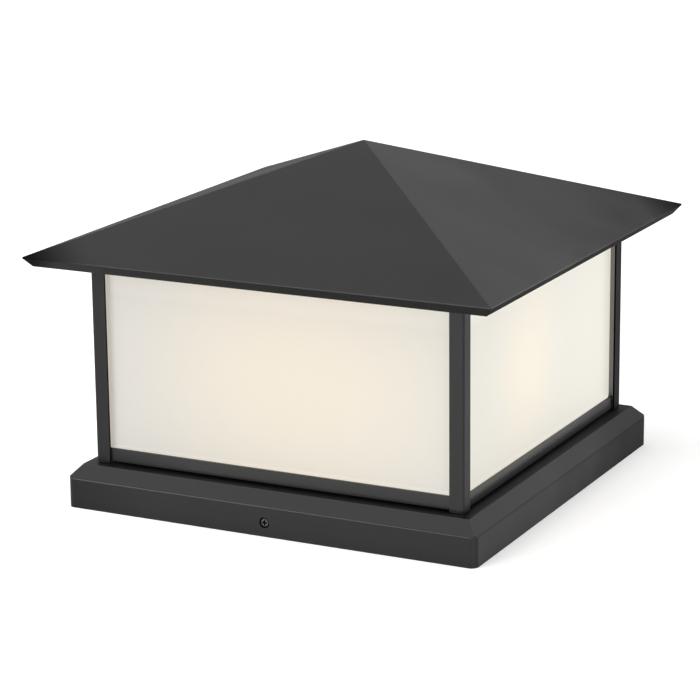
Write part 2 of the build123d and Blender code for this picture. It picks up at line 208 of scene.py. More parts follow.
# Plain skins
skin_cloud_per_m = 60.0
skin_roughness_drift = 0.05
skin_grain_strength = 0.5
skin_edge_share = 1.3
skin_edge_radius = 0.0005

# Lamps
lamp_dark_colour = (0.58, 0.56, 0.50)
lamp_light_colour = (0.66, 0.64, 0.58)
lamp_glow_colour = (1.0, 0.74, 0.40)
lamp_light = (0.10, 0.42)
lamp_roughness = 0.45
lamp_frost_per_m = 700.0
lamp_frost_depth = 0.00003
lamp_frost_strength = 0.4

# Detail pieces, in millimetres. A profile is a list of radii and heights.
mm = 0.001
smooth_angle = math.radians(38.0)
lathe_steps = 48
thread_pitch = 3.62
thread_rows_per_pitch = 8

# Lamp caps and brass shells. The cap's thread keeps off its foot and its top by the two parts of its span,
# and the collar's points are insets and drops from the top rim.
cap_foot_profile = ((0.4, 0.0), (3.0, 0.0), (4.4, 0.5), (4.7, 1.1), (5.1, 1.2), (8.8, 2.2), (10.8, 3.2),
                    (11.1, 3.4), (11.7, 4.4), (12.1, 5.2))
cap_button_top = 1.15
cap_insulator_top = 3.3
cap_thread_depth = 0.9
cap_thread_span = (6.8, 3.0)
cap_collar_drops = ((0.0, 2.2), (0.0, 0.5), (0.4, 0.0), (3.0, 0.0))
shell_inside_radius = 13.1
shell_thread_depth = 0.5
shell_sheet = 0.35
shell_lip = 1.2
shell_lip_round = 0.3

# Connectors. The bore is a radius and a depth. The flutes' fade is where they begin in half a wave and how
# much of it they take. The dome's shares are of the tip's radius and the length. Each section of a wing
# has its share of the thickness, its start and its end.
connector_length = 22.0
connector_bore = (4.2, 11.4)
connector_bore_round = 0.6
connector_lip_round = 0.4
connector_lip_height = 0.5
connector_pole_radius = 0.4
connector_skirt_step = 0.3
connector_flutes = 14
connector_flute_steps = 6
connector_flute_depth = 0.7
connector_flute_span = (4.0, 19.4)
connector_flute_gap = 0.6
connector_flute_fade = (0.08, 0.80)
connector_rows = 10
connector_tip_share = 0.6
connector_dome_shares = ((0.94, 0.93), (0.76, 0.97), (0.45, 0.993))
connector_wing_root_share = 0.75
connector_wing_reach = 7.4
connector_wing_round = 0.5
connector_wing_thickness = 1.4
connector_wing_sections = ((1.0, 1.2, 14.5), (0.85, 1.5, 12.0), (0.45, 2.2, 10.8))

# Screws. Shares are of a head's radius and height, and the rim has two steps to each corner of the cross.
screw_steps = 24
screw_rim_shares = ((0.97, 0.0), (1.0, 0.15), (1.0, 0.5))
screw_dome_shares = ((0.84, 0.92), (0.72, 1.0))
recess_width_share = 1.3
recess_arm_share = 0.34
recess_floor_share = 0.85
recess_depth = 1.7
recess_first_step = 3
recess_paint_share = 0.7
recess_paint_margin = 0.05
bracket_head_radius = 3.8
bracket_head_height = 2.0
bracket_shank_radius = 2.0
side_head_radius = 3.7
side_head_height = 2.2
side_shank_radius = 2.0
ground_head_height = 2.5
ground_shank_radius = 2.5

# Bushing and strips
bushing_profile = ((8.0, 0.6), (8.2, 0.2), (8.7, 0.0), (10.3, 0.0), (10.75, 0.4), (10.75, 2.5), (13.6, 2.5),
                   (14.0, 2.8), (14.0, 3.4), (13.6, 3.9), (12.6, 4.2), (11.4, 4.3), (9.2, 4.3), (8.4, 4.1),
                   (8.0, 3.5))
strips = {
    "glass_foot_cushion": {"width": 7.0, "corner_radius": 7.5, "ribs": 3},
    "glass_head_cushion": {"width": 4.0, "corner_radius": 11.0, "ribs": 2},
}
strip_corner_steps = 10
strip_points_per_rib = 8
strip_rib_depth = 0.35
strip_rib_inset = 0.1
strip_edge = 0.2


# Shader building

def put(tree, kind, inputs=None, **settings):
    """A shader node whose inputs are set to values or linked to other nodes' outputs."""
    made = tree.nodes.new("ShaderNode" + kind)
    for key, value in settings.items():
        setattr(made, key, value)
    for key, value in (inputs or {}).items():
        if isinstance(value, bpy.types.NodeSocket):
            tree.links.new(value, made.inputs[key])
        else:
            made.inputs[key].default_value = value
    return made


def new_material(name, **values):
    """A material with its own tree, its surface shader and the object's own coordinates."""
    made = bpy.data.materials.new(name)
    made.use_nodes = True
    tree = made.node_tree
    shader = tree.nodes["Principled BSDF"]
    for key, value in values.items():
        shader.inputs[key.replace("_", " ")].default_value = value
    place = put(tree, "TexCoord").outputs["Object"]
    return made, tree, shader, place


def feed(tree, shader, **sources):
    """Links the surface shader's inputs to other nodes' outputs."""
    for key, source in sources.items():
        tree.links.new(source, shader.inputs[key.replace("_", " ")])


def opaque(colour, share=1.0, lift=0.0):
    """A colour made darker or lighter, up to white, with its alpha."""
    return (*[min(1.0, share * value + lift) for value in colour], 1.0)


def noise(tree, place, per_metre, detail=3.0):
    """Soft random values from 0 to 1, with about so many features to a metre."""
    made = put(tree, "TexNoise", {"Vector": place, "Scale": per_metre, "Detail": detail,
                                  "Roughness": noise_roughness})
    return made.outputs["Fac"]


def spread(tree, value, low, high, from_low=0.0, from_high=1.0):
    """A value moved from one range to another and kept inside it."""
    made = put(tree, "MapRange", {"Value": value, "From Min": from_low, "From Max": from_high,
                                  "To Min": low, "To Max": high})
    return made.outputs["Result"]


def blend(tree, share, first, second, way="MIX"):
    """Two colours mixed by a share from 0 to 1, or a share of the second added to the first."""
    made = put(tree, "MixRGB", {"Fac": share, "Color1": first, "Color2": second}, blend_type=way)
    return made.outputs["Color"]


def compute(tree, operation, first, *others):
    """A sum on one number, or on several taken in turn."""
    for other in others or (0.0,):
        first = put(tree, "Math", {0: first, 1: other}, operation=operation).outputs["Value"]
    return first


def compute_vector(tree, operation, first, second=(0.0, 0.0, 0.0)):
    """A sum on vectors, which gives a vector, or a number for a length or a dot product."""
    made = put(tree, "VectorMath", {0: first, 1: second}, operation=operation)
    return made.outputs["Value" if operation in ("LENGTH", "DOT_PRODUCT") else "Vector"]


def height_of(tree, place):
    """The Z part of a place."""
    return put(tree, "SeparateXYZ", {"Vector": place}).outputs["Z"]


def face_normal(tree):
    """Which way a face looks, before any relief."""
    return put(tree, "NewGeometry").outputs["Normal"]


def normal_parts(tree):
    """The X, Y and Z parts of a face's direction."""
    return put(tree, "SeparateXYZ", {"Vector": face_normal(tree)}).outputs


def outward_reach(tree, place):
    """How far out from the middle an upright face lies, below 0 where it looks inwards."""
    level = compute_vector(tree, "MULTIPLY", place, (1.0, 1.0, 0.0))
    return compute_vector(tree, "DOT_PRODUCT", level, face_normal(tree))


def across(tree, place):
    """How far a point lies towards the right-hand corner, along X plus Y."""
    return compute_vector(tree, "DOT_PRODUCT", place, (1.0, 1.0, 0.0))


def bumped(tree, shader, height, depth, strength):
    """Gives the surface shader a fine relief."""
    made = put(tree, "Bump", {"Height": height, "Distance": depth, "Strength": strength})
    feed(tree, shader, Normal=made.outputs["Normal"])
    return made


def edge_mask(tree, radius):
    """Near 1 along edges and near 0 on flats."""
    soft = put(tree, "Bevel", {"Radius": radius}, samples=edge_samples).outputs["Normal"]
    alike = compute_vector(tree, "DOT_PRODUCT", soft, face_normal(tree))
    return spread(tree, alike, 1.0, 0.0, *edge_alike_span)


# Painted shade on the powder coat

def corner_shade(tree, place, most, span):
    """Higher towards the right-hand corner, or towards the left-hand one where the span falls."""
    return spread(tree, across(tree, place), 0.0, most, *span)


def underside_shade(tree):
    """Painted shade, higher on faces that lean downwards, and most on those that look right."""
    lean = normal_parts(tree)
    downward = spread(tree, lean["Z"], 1.0, 0.0, *underside_lean)
    return compute(tree, "MULTIPLY", downward, spread(tree, lean["X"], underside_shade_least, 1.0))


def roof_shade(tree, place):
    """Painted shade on the fascia, towards the left and right tips, down the right slope and on the far
    slopes.
    """
    lean = normal_parts(tree)
    turned_left = compute(tree, "MULTIPLY", lean["X"], -1.0)
    turned_away = compute(tree, "MAXIMUM", turned_left, lean["Y"])
    far = spread(tree, turned_away, 0.0, roof_far_shade, *roof_far_lean)
    rightward = spread(tree, lean["X"], 0.0, 1.0, *roof_side_lean)
    side = compute(tree, "MULTIPLY", rightward, corner_shade(tree, place, roof_side_shade, roof_side_span))
    left_tip = corner_shade(tree, place, roof_tip_shade, roof_left_span)
    right_tip = corner_shade(tree, place, roof_tip_shade, roof_right_span)
    return compute(tree, "MAXIMUM", far, side, left_tip, right_tip, underside_shade(tree))


def base_shade(tree, place):
    """Painted shade towards the left and right corners, on front, right and top faces and in screw recesses.
    """
    from_screw = compute_vector(tree, "SUBTRACT", place, screw_place)
    from_axis = compute_vector(tree, "MULTIPLY", from_screw, (1.0, 0.0, 1.0))
    recess = spread(tree, compute_vector(tree, "LENGTH", from_axis), 1.0, 0.0, *base_recess_span)
    lean = normal_parts(tree)
    upright = spread(tree, lean["Z"], 1.0, 0.0, *base_upright_lean)
    left = compute(tree, "MULTIPLY", upright, corner_shade(tree, place, base_left_shade, base_left_span))
    right = corner_shade(tree, place, base_right_shade, base_right_span)
    side = spread(tree, lean["X"], 0.0, base_side_shade, *base_side_lean)
    front = spread(tree, lean["Y"], 0.0, base_front_shade, *base_front_lean)
    shelf = spread(tree, lean["Z"], 0.0, base_shelf_shade, *base_shelf_lean)
    return compute(tree, "MAXIMUM", recess, left, compute(tree, "ADD", side, right, shelf, front))


def cage_shade(tree, place):
    """Painted shade: 1 on the ends of the posts' flanges, more towards the left and right posts and on right
    faces.
    """
    reach = outward_reach(tree, place)
    inward = spread(tree, reach, 1.0, 0.0, *cage_inward_span)
    ends = compute(tree, "MULTIPLY", inward, spread(tree, reach, 0.0, 1.0, *cage_end_span))
    rightward = spread(tree, normal_parts(tree)["X"], 0.0, cage_side_shade, *cage_side_lean)
    side = compute(tree, "MULTIPLY", rightward, spread(tree, reach, 0.0, 1.0, *cage_post_span))
    left = corner_shade(tree, place, cage_left_shade, cage_left_span)
    right = corner_shade(tree, place, cage_right_shade, cage_right_span)
    return compute(tree, "MAXIMUM", ends, left, compute(tree, "ADD", side, right))


# Materials

def cage_colour(tree, place, colour):
    """The coat's colour, slightly paler on the rails, with painted light from the glass on the faces that
    look in at it.
    """
    reach = outward_reach(tree, place)
    past_glass = spread(tree, reach, 0.0, 1.0, *cage_rail_span)
    rails = compute(tree, "MULTIPLY", past_glass, spread(tree, reach, 1.0, 0.0, *cage_post_span))
    # Painted light: faces that look in at the glass are painted pale, as if lit by it
    inside = spread(tree, reach, 1.0, 0.0, *cage_inside_span)
    railed = blend(tree, rails, colour, opaque(coat_rail_colour))
    return blend(tree, inside, railed, opaque(painted_glass_light_colour))


def powder_coat(name, painted_shade_of, recolour=None, wave_depth=0.0):
    """Satin black coating: orange-peel grain, faint clouds, rubbed edges, and painted shade that darkens it.
    """
    made, tree, shader, place = new_material(name, Specular_IOR_Level=coat_specular)
    clouds = noise(tree, place, coat_cloud_per_m, detail=2.0)
    grain = noise(tree, place, coat_grain_per_m, detail=2.0)
    edges = edge_mask(tree, coat_wear_radius)
    rubbed = compute(tree, "MULTIPLY", edges, noise(tree, place, coat_wear_per_m))
    tone = blend(tree, clouds, opaque(coat_colour, 1 - coat_cloud_drift),
                 opaque(coat_colour, 1 + coat_cloud_drift))
    colour = blend(tree, rubbed, tone, opaque(coat_edge_colour))
    if recolour:
        colour = recolour(tree, place, colour)
    # Painted shade: where the mask is high the coat is darkened, made metallic and roughened
    shade = painted_shade_of(tree, place)
    satin = spread(tree, clouds, coat_roughness - coat_roughness_drift, coat_roughness + coat_roughness_drift,
                   *cloud_span)
    dulled = spread(tree, shade, 0.0, coat_dull_roughness - coat_roughness)
    feed(tree, shader, Base_Color=blend(tree, shade, colour, opaque(coat_painted_shade_colour)),
         Metallic=compute(tree, "MULTIPLY", shade, painted_shade_darkening),
         Roughness=compute(tree, "ADD", satin, dulled))
    relief = bumped(tree, shader, grain, coat_grain_depth, coat_grain_strength)
    if wave_depth:
        swells = noise(tree, place, coat_wave_per_m, detail=1.0)
        waves = put(tree, "Bump", {"Height": swells, "Distance": wave_depth})
        tree.links.new(waves.outputs["Normal"], relief.inputs["Normal"])
    return made


def lamp_glow(tree, place):
    """How strongly the painted lamp light falls on each point of the glass, from 0 to 1 and alike on opposite
    panes.
    """
    normal = face_normal(tree)
    lean = put(tree, "SeparateXYZ", {"Vector": normal}).outputs
    turn_from, turn_to = opal_mirror_lean
    signs = {"X": spread(tree, lean["X"], -1.0, 1.0, -turn_to, -turn_from),
             "Y": spread(tree, lean["Y"], 1.0, -1.0, turn_from, turn_to), "Z": 1.0}
    mirror = put(tree, "CombineXYZ", signs).outputs["Vector"]
    shown = compute_vector(tree, "MULTIPLY", place, mirror)
    facing = compute_vector(tree, "MULTIPLY", normal, mirror)
    lights = []
    for centre in lamp_centres:
        ray = compute_vector(tree, "SUBTRACT", centre + opal_glow_shift, shown)
        span = compute_vector(tree, "LENGTH", ray)
        along = compute(tree, "ABSOLUTE", compute_vector(tree, "DOT_PRODUCT", ray, facing))
        lights.append(compute(tree, "DIVIDE", along, span, compute(tree, "MULTIPLY", span, span)))
    gain = spread(tree, lean["X"], opal_glow_gain, opal_glow_gain * opal_side_glow)
    glow = compute(tree, "MULTIPLY", compute(tree, "ADD", *lights), gain)
    return spread(tree, glow, 0.0, 1.0, *opal_glow_span)


def painted_rim_light_share(tree, place):
    """Where the painted rim light goes: higher round the glass's upright corners and along its foot and head.
    """
    lean = normal_parts(tree)
    slant = compute(tree, "ABSOLUTE", compute(tree, "MULTIPLY", lean["X"], lean["Y"]))
    corners = spread(tree, slant, 0.0, 1.0, 0.0, opal_corner_slant)
    height = height_of(tree, place)
    foot = spread(tree, height, 1.0, 0.0, *opal_foot_span)
    head = spread(tree, height, 0.0, opal_head_share, *opal_head_span)
    return compute(tree, "MAXIMUM", corners, foot, head)


def opal_glass(name):
    """White glass with a satin skin and a painted glow: brighter to the right, warmed by the lamps, paler at
    its rims.
    """
    made, tree, shader, place = new_material(name, Roughness=opal_roughness, Specular_IOR_Level=opal_specular,
                                             Emission_Strength=1.0)
    side_step = spread(tree, normal_parts(tree)["X"], 0.0, opal_side_step)
    rightward = compute(tree, "ADD", across(tree, place), side_step)
    light = blend(tree, spread(tree, rightward, 0.0, 1.0, *opal_light_span), opaque(opal_left_light),
                  opaque(opal_right_light))
    light = blend(tree, lamp_glow(tree, place), light, opaque(opal_warm_light), way="ADD")
    light = blend(tree, painted_rim_light_share(tree, place), light, opaque(opal_rim_light), way="ADD")
    milk = blend(tree, noise(tree, place, opal_cloud_per_m, detail=2.0), opaque(opal_colour),
                 opaque(opal_colour, opal_cloud_share))
    feed(tree, shader, Base_Color=milk, Emission_Color=light)
    ripples = noise(tree, place, opal_ripple_per_m, detail=1.0)
    bumped(tree, shader, ripples, opal_ripple_depth, opal_ripple_strength)
    return made


def bare_metal(name, colour, roughness):
    """Drawn or plated metal with a brushed grain, cloudy tarnish and bright edges."""
    made, tree, shader, place = new_material(name, Metallic=1.0)
    stretched = put(tree, "Mapping", {"Vector": place, "Scale": metal_brush_per_m}).outputs["Vector"]
    grain = noise(tree, stretched, 1.0)
    clouds = noise(tree, place, metal_cloud_per_m, detail=4.0)
    tone = blend(tree, clouds, opaque(colour, metal_tarnish_share), opaque(colour))
    edged = blend(tree, edge_mask(tree, metal_edge_radius), tone, opaque(colour, metal_edge_share))
    rough = spread(tree, grain, roughness - metal_smoother, roughness + metal_rougher, *cloud_span)
    feed(tree, shader, Base_Color=edged, Roughness=rough)
    bumped(tree, shader, grain, metal_grain_depth, metal_grain_strength)
    return made


def zinc_sheet(name):
    """Zinc-plated sheet with spangle."""
    made, tree, shader, place = new_material(name, Metallic=zinc_metallic)
    flakes = put(tree, "TexVoronoi", {"Vector": place, "Scale": zinc_spangle_per_m}).outputs["Color"]
    spangle = put(tree, "SeparateColor", {"Color": flakes}).outputs[0]
    tone = blend(tree, spangle, opaque(zinc_dark_colour), opaque(zinc_light_colour))
    edged = blend(tree, edge_mask(tree, zinc_edge_radius), tone, opaque(zinc_edge_colour))
    feed(tree, shader, Base_Color=edged, Roughness=spread(tree, spangle, *zinc_roughness))
    bumped(tree, shader, noise(tree, place, zinc_grain_per_m), zinc_grain_depth, zinc_grain_strength)
    return made


def plain_skin(name, colour, roughness, grain_per_m, grain_depth, specular=0.5, drift=0.12, edge_lift=0.015):
    """Rubber, plastic, paint or glaze with a slight drift of colour, its own grain and lighter edges."""
    made, tree, shader, place = new_material(name, Specular_IOR_Level=specular)
    clouds = noise(tree, place, skin_cloud_per_m)
    tone = blend(tree, clouds, opaque(colour, 1 - drift), opaque(colour, 1 + drift))
    edged = blend(tree, edge_mask(tree, skin_edge_radius), tone, opaque(colour, skin_edge_share, edge_lift))
    rough = spread(tree, clouds, roughness - skin_roughness_drift, roughness + skin_roughness_drift,
                   *cloud_span)
    feed(tree, shader, Base_Color=edged, Roughness=rough)
    bumped(tree, shader, noise(tree, place, grain_per_m), grain_depth, skin_grain_strength)
    return made


def lit_lamp(name):
    """Frosted lamp glass that glows, more and more from its neck to its waist."""
    made, tree, shader, place = new_material(name, Roughness=lamp_roughness,
                                             Emission_Color=opaque(lamp_glow_colour))
    low, high = lamp_boxes[0]
    lit = spread(tree, height_of(tree, place), *lamp_light, low.z, (low.z + high.z) / 2)
    frost = noise(tree, place, lamp_frost_per_m)
    tone = blend(tree, frost, opaque(lamp_dark_colour), opaque(lamp_light_colour))
    feed(tree, shader, Base_Color=tone, Emission_Strength=lit)
    bumped(tree, shader, frost, lamp_frost_depth, lamp_frost_strength)
    return made


slot_materials = {
    "roof_coat": powder_coat("roof_coat_black", roof_shade, wave_depth=roof_wave_depth),
    "base_coat": powder_coat("base_coat_black", base_shade),
    "cage_coat": powder_coat("cage_coat_black", cage_shade, recolour=cage_colour),
    "white_sheet": plain_skin("white_sheet_paint", colour=(0.74, 0.74, 0.72), roughness=0.5,
                              grain_per_m=900.0, grain_depth=0.00003),
    "frame_alloy": bare_metal("frame_alloy_cast", colour=(0.52, 0.52, 0.53), roughness=0.42),
    "screw_steel": bare_metal("screw_steel_zinc", colour=(0.62, 0.62, 0.63), roughness=0.32),
    "black_screw": plain_skin("black_screw_finish", colour=(0.055, 0.055, 0.056), roughness=0.45,
                              grain_per_m=1200.0, grain_depth=0.00002),
    # Painted shade: a near-black, hardly shiny finish for the screws' cross recesses
    "screw_recess": plain_skin("screw_recess_painted_shade", colour=(0.003, 0.003, 0.003), roughness=0.85,
                               grain_per_m=1200.0, grain_depth=0.00002, specular=0.05, edge_lift=0.0),
    "opal_glass": opal_glass("opal_glass_lit"),
    "silicone": plain_skin("silicone_strip", colour=(0.70, 0.70, 0.68), roughness=0.6,
                           grain_per_m=600.0, grain_depth=0.00004),
    "plate_steel": zinc_sheet("plate_steel_zinc"),
    "bushing_rubber": plain_skin("bushing_rubber_black", colour=(0.018, 0.018, 0.018), roughness=0.65,
                                 grain_per_m=700.0, grain_depth=0.00005),
    "green_screw": plain_skin("green_screw_finish", colour=(0.03, 0.22, 0.07), roughness=0.35,
                              grain_per_m=900.0, grain_depth=0.00002),
    "porcelain": plain_skin("porcelain_glaze", colour=(0.80, 0.78, 0.73), roughness=0.14,
                            grain_per_m=120.0, grain_depth=0.00006, drift=0.04),
    "brass": bare_metal("brass_rolled", colour=(0.72, 0.50, 0.20), roughness=0.30),
    "lamp_cap_metal": bare_metal("lamp_cap_nickel", colour=(0.66, 0.65, 0.62), roughness=0.28),
    "lamp_envelope": lit_lamp("lamp_envelope_frosted"),
    "black_insulation": plain_skin("black_insulation_pvc", colour=(0.015, 0.015, 0.016), roughness=0.4,
                                   grain_per_m=500.0, grain_depth=0.00003),
    "white_insulation": plain_skin("white_insulation_pvc", colour=(0.72, 0.72, 0.70), roughness=0.4,
                                   grain_per_m=500.0, grain_depth=0.00003),
    "connector_plastic": plain_skin("connector_plastic_orange", colour=(0.62, 0.20, 0.02), roughness=0.4,
                                    grain_per_m=700.0, grain_depth=0.00004),
}
for subpart in frame["record"]["subparts"]:
    node_mesh = nodes[subpart["node"]].data
    node_mesh.materials.clear()
    node_mesh.materials.append(slot_materials[subpart["material_slot"]])


# Shapes of detail pieces, as points and faces

def node_box(name):
    """A node's lowest and highest corners in millimetres."""
    low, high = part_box(name)
    return Vector(low) / mm, Vector(high) / mm


def moved(shape, place):
    """A shape shifted to a place."""
    points, faces = shape
    return [tuple(value + shift for value, shift in zip(point, place)) for point in points], faces


def stood(shape, low, high):
    """A shape shifted from the origin to the middle of a box's floor."""
    middle = (low + high) / 2
    return moved(shape, (middle.x, middle.y, low.z))


def joined(shapes):
    """Several shapes as one."""
    points = []
    faces = []
    for shape_points, shape_faces in shapes:
        faces += [tuple(len(points) + index for index in face) for face in shape_faces]
        points += shape_points
    return points, faces


def ring_faces(rings, steps, closed):
    """Faces between rings of points, which join up again or end in flat caps."""
    faces = []
    for row in range(rings if closed else rings - 1):
        low = row * steps
        high = (row + 1) % rings * steps
        for step in range(steps):
            after = (step + 1) % steps
            faces.append((low + step, low + after, high + after, high + step))
    if not closed:
        faces.append(tuple(range(steps)))
        faces.append(tuple(range((rings - 1) * steps, rings * steps)))
    return faces


def lathe(profile, steps=lathe_steps, closed=False):
    """A shape about the Z axis from a profile, in which a radius can also be a function of the turn."""
    points = []
    for radius, height in profile:
        for step in range(steps):
            turn = 2 * math.pi * step / steps
            reach = radius(turn) if callable(radius) else radius
            points.append((reach * math.cos(turn), reach * math.sin(turn), height))
    return points, ring_faces(len(profile), steps, closed)


def swell(turn):
    """A smooth wave from 0 to 1 and back over each full turn."""
    return 0.5 - 0.5 * math.cos(turn)


def thread_profile(bottom, top, crest, depth):
    """The profile of a rolled thread that fades out at both ends."""
    def radius_at(height, fade):
        start = 2 * math.pi * height / thread_pitch
        return lambda turn: crest - depth * fade * swell(start - turn)

    count = math.ceil((top - bottom) / thread_pitch * thread_rows_per_pitch)
    heights = [bottom + (top - bottom) * row / count for row in range(count + 1)]
    fades = [min(1.0, (height - bottom) / thread_pitch, (top - height) / thread_pitch) for height in heights]
    return [(radius_at(height, fade), height) for height, fade in zip(heights, fades)]


def connector_profile(mouth, tip):
    """The profile of a twist-on connector: its bore, plain skirt, flutes and domed tip."""
    def fluted(radius, depth):
        return lambda turn: radius - depth * swell(connector_flutes * turn)

    bore, deep = connector_bore
    flute_from, flute_to = connector_flute_span
    fade_from, fade_length = connector_flute_fade
    foot = mouth - connector_skirt_step
    profile = [(connector_pole_radius, deep), (bore - connector_bore_round, deep),
               (bore, deep - connector_bore_round), (bore, connector_lip_height),
               (bore + connector_lip_round, 0.0), (mouth - connector_lip_round, 0.0),
               (mouth, connector_lip_round), (mouth, flute_from - connector_flute_gap)]
    for row in range(connector_rows + 1):
        share = row / connector_rows
        depth = connector_flute_depth * math.sin(math.pi * (fade_from + fade_length * share))
        radius = fluted(foot + (tip - foot) * share, depth)
        profile.append((radius, flute_from + (flute_to - flute_from) * share))
    profile += [(width * tip, rise * connector_length) for width, rise in connector_dome_shares]
    profile.append((connector_pole_radius, connector_length))
    return profile


def connector_wing(mouth, hand):
    """One of a connector's two wings, thinner and shorter outwards."""
    reaches = (connector_wing_root_share * mouth, connector_wing_reach - connector_wing_round,
               connector_wing_reach)
    points = []
    for reach, (share, start, end) in zip(reaches, connector_wing_sections):
        half = share * connector_wing_thickness / 2
        points += [(hand * reach, -half, start), (hand * reach, half, start),
                   (hand * reach, half, end), (hand * reach, -half, end)]
    return points, ring_faces(len(reaches), 4, closed=False)


def circle(radius):
    """The reach of a circle, the same at each turn."""
    return radius


def hexagon(radius):
    """The reach of a hexagon at each turn, from its reach at the corners."""
    sixth = math.pi / 3
    return lambda turn: radius * math.cos(sixth / 2) / math.cos(turn % sixth - sixth / 2)


def cross_head_screw(radius, height, shank, length, form):
    """A screw with the underside of its head at the origin and a cross recess in its top."""
    profile = [(shank, -length), (shank, 0.0)]
    profile += [(form(width * radius), rise * height) for width, rise in screw_rim_shares]
    profile += [(width * radius, rise * height) for width, rise in screw_dome_shares]
    points, faces = lathe(profile, screw_steps)
    faces.pop()
    arm = recess_width_share * radius / 2
    half = recess_arm_share * arm
    plan = [(half, half), (half, arm), (-half, arm), (-half, half), (-arm, half), (-arm, -half),
            (-half, -half), (-half, -arm), (half, -arm), (half, -half), (arm, -half), (arm, half)]
    rim = len(points) - screw_steps
    mouth = len(points)
    floor = mouth + len(plan)
    points += [(x, y, height) for x, y in plan]
    points += [(recess_floor_share * x, recess_floor_share * y, height - recess_depth) for x, y in plan]
    for index in range(len(plan)):
        after = (index + 1) % len(plan)
        first = recess_first_step + 2 * index
        nearest = [rim + step % screw_steps for step in (first, first + 1, first + 2)]
        faces.append((mouth + index, *nearest, mouth + after))
        faces.append((mouth + index, mouth + after, floor + after, floor + index))
    faces.append(tuple(range(floor, floor + len(plan))))
    return points, faces


def strip_section(width, height, ribs):
    """The section of a strip, as insets and heights: a flat foot with cut edges, and ribs along its top."""
    count = ribs * strip_points_per_rib
    section = [(strip_edge, 0.0), (width - strip_edge, 0.0), (width, strip_edge)]
    for point in range(count, -1, -1):
        share = point / count
        dip = strip_rib_depth * (1 - swell(2 * math.pi * ribs * share))
        section.append((strip_rib_inset + (width - 2 * strip_rib_inset) * share, height - dip))
    section.append((0.0, strip_edge))
    return section


# Detail pieces

def add_piece(name, shape, body, slot, *stands_for):
    """A new piece in a slot's finish that rides on a body and stands for CAD nodes."""
    points, faces = shape
    mesh = bpy.data.meshes.new(name)
    mesh.from_pydata([tuple(mm * value for value in point) for point in points], [], faces)
    shaping = bmesh.new()
    shaping.from_mesh(mesh)
    bmesh.ops.recalc_face_normals(shaping, faces=shaping.faces)
    shaping.to_mesh(mesh)
    shaping.free()
    mesh.materials.append(slot_materials[slot])
    mesh.polygons.foreach_set("use_smooth", [True] * len(mesh.polygons))
    mesh.set_sharp_from_angle(angle=smooth_angle)
    piece = bpy.data.objects.new(name, mesh)
    bpy.context.scene.collection.objects.link(piece)
    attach(piece, body)
    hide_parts(*stands_for)
    return piece


def paint(piece, finish, chosen):
    """Gives another finish to the faces whose middles, in millimetres, pass a test."""
    piece.data.materials.append(slot_materials[finish])
    for face in piece.data.polygons:
        if chosen(face.center / mm):
            face.material_index = len(piece.data.materials) - 1


def add_lamp_cap(side):
    """A plated cap with a rolled thread, a dark insulator and a brass contact."""
    low, high = node_box(f"lamp_cap_{side}")
    radius = (high.x - low.x) / 2
    height = high.z - low.z
    thread_from, thread_to = cap_thread_span
    thread = thread_profile(thread_from, height - thread_to, radius, cap_thread_depth)
    collar = [(radius - inset, height - drop) for inset, drop in cap_collar_drops]
    shape = lathe([*cap_foot_profile, *thread, *collar])
    cap = add_piece(f"lamp_cap_thread_{side}", stood(shape, low, high), f"lamp_{side}", "lamp_cap_metal",
                    f"lamp_cap_{side}")
    paint(cap, "black_insulation", lambda point: point.z < low.z + cap_insulator_top)
    paint(cap, "brass", lambda point: point.z < low.z + cap_button_top)


def add_screw_shell(side):
    """A thin brass shell with a rolled thread and a turned lip."""
    low, high = node_box(f"screw_shell_{side}")
    height = high.z - low.z
    crest = shell_inside_radius + shell_thread_depth
    inside = thread_profile(0.0, height - shell_lip, crest, shell_thread_depth)
    outside = thread_profile(0.0, height - shell_lip, crest + shell_sheet, shell_thread_depth)
    lip = [(crest + shell_sheet, height - shell_lip_round), (crest + shell_sheet / 2, height),
           (crest, height - shell_lip_round)]
    shape = lathe([*outside, *lip, *inside[::-1]], closed=True)
    add_piece(f"screw_shell_thread_{side}", stood(shape, low, high), "mount", "brass", f"screw_shell_{side}")


def add_connectors():
    """The two connectors, lying in front of and behind the bracket."""
    low, high = node_box("wire_connectors")
    mouth = (high.x - low.x) / 2
    profile = connector_profile(mouth, connector_tip_share * mouth)
    cone = lathe(profile, connector_flute_steps * connector_flutes)
    points, faces = joined([cone, connector_wing(mouth, -1), connector_wing(mouth, 1)])
    start = high.y - connector_length
    middle = (low.z + high.z) / 2
    pair = [([(x, way * (start + z), middle + y) for x, y, z in points], faces) for way in (-1, 1)]
    add_piece("wire_connectors_fluted", joined(pair), "mount", "connector_plastic", "wire_connectors")


def add_bracket_screws():
    """Four round-headed screws in the bracket's feet."""
    low, high = node_box("bracket_screws")
    seat = high.z - bracket_head_height
    screw = cross_head_screw(bracket_head_radius, bracket_head_height, bracket_shank_radius, seat - low.z,
                             circle)
    places = [(x, y, seat) for x in (low.x + bracket_head_radius, high.x - bracket_head_radius)
              for y in (low.y + bracket_head_radius, high.y - bracket_head_radius)]
    shape = joined([moved(screw, place) for place in places])
    add_piece("bracket_screws_cross", shape, "mount", "screw_steel", "bracket_screws")


